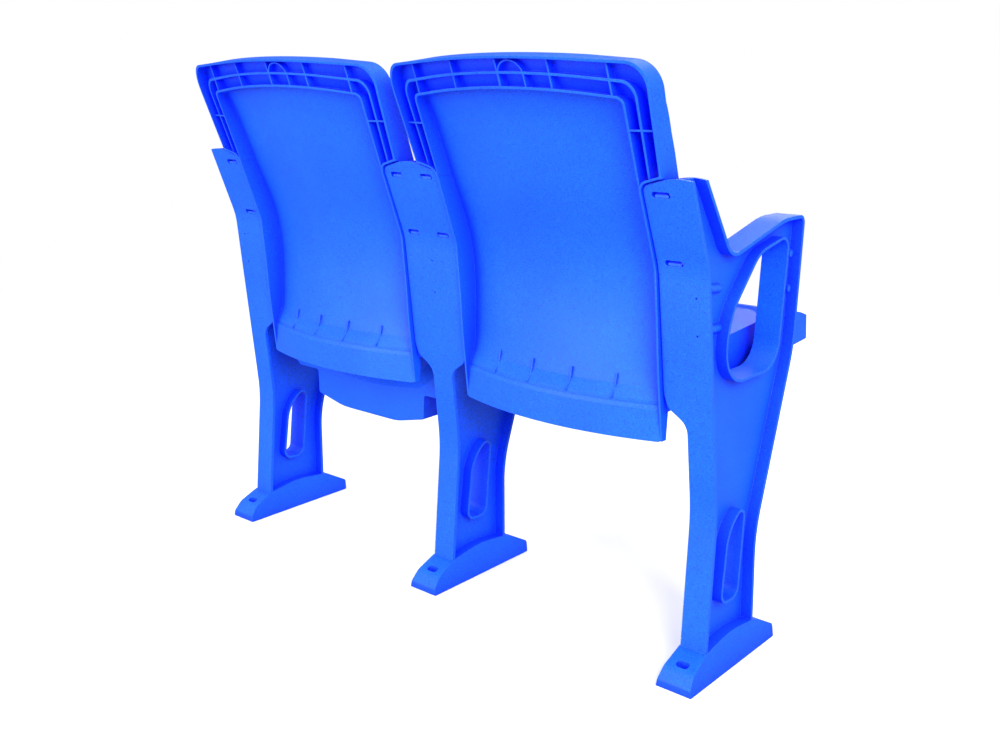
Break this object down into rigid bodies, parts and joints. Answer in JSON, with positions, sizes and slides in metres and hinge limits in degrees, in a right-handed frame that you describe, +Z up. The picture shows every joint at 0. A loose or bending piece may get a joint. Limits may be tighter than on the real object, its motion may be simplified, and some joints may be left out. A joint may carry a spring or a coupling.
{
  "type": "stadium seat",
  "caption": "Row of tip-up stadium seats with ribbed curved backs on moulded standards that have armrests and bolt-down feet.",
  "frame": {"origin": "on the floor under the middle standard, midway between its two floor slots", "axes": "+Z up, the sitter faces -Y, the row runs along X with the raised seat at +X"},
  "size_m": [1.016, 0.5695, 0.8591],
  "materials": {
    "blue_plastic": "satin",
    "black_nylon": "matte",
    "black_rubber": "matte",
    "steel": "satin"
  },
  "bodies": {
    "row_frame": {"left_standard": "blue_plastic", "middle_standard": "blue_plastic", "right_standard": "blue_plastic", "left_back": "blue_plastic", "right_back": "blue_plastic", "left_back_screws": "steel", "left_back_washers": "steel", "left_seat_inner_hinge_pin": "steel", "left_seat_inner_thrust_washer": "black_nylon", "left_seat_inner_stop_buffer": "black_rubber", "left_seat_outer_hinge_pin": "steel", "left_seat_outer_thrust_washer": "black_nylon", "left_seat_outer_stop_buffer": "black_rubber", "right_back_screws": "steel", "right_back_washers": "steel", "right_seat_inner_hinge_pin": "steel", "right_seat_inner_thrust_washer": "black_nylon", "right_seat_inner_stop_buffer": "black_rubber", "right_seat_outer_hinge_pin": "steel", "right_seat_outer_thrust_washer": "black_nylon", "right_seat_outer_stop_buffer": "black_rubber"},
    "left_seat": {"left_seat_pan": "blue_plastic", "left_cheek_screws": "steel", "left_seat_inner_cheek": "black_nylon", "left_seat_inner_hinge_bush": "black_nylon", "left_seat_outer_cheek": "black_nylon", "left_seat_outer_hinge_bush": "black_nylon"},
    "right_seat": {"right_seat_pan": "blue_plastic", "right_cheek_screws": "steel", "right_seat_inner_cheek": "black_nylon", "right_seat_inner_hinge_bush": "black_nylon", "right_seat_outer_cheek": "black_nylon", "right_seat_outer_hinge_bush": "black_nylon"}
  },
  "joints": [
    {"name": "left_seat_tip", "type": "hinge", "parent": "row_frame", "child": "left_seat", "pos_m": [0.24, -0.087, 0.37], "axis": [1, 0, 0], "range_deg": [0, 86]},
    {"name": "right_seat_tip", "type": "hinge", "parent": "row_frame", "child": "right_seat", "pos_m": [-0.24, -0.087, 0.37], "axis": [-1, 0, 0], "range_deg": [0, 86]}
  ]
}
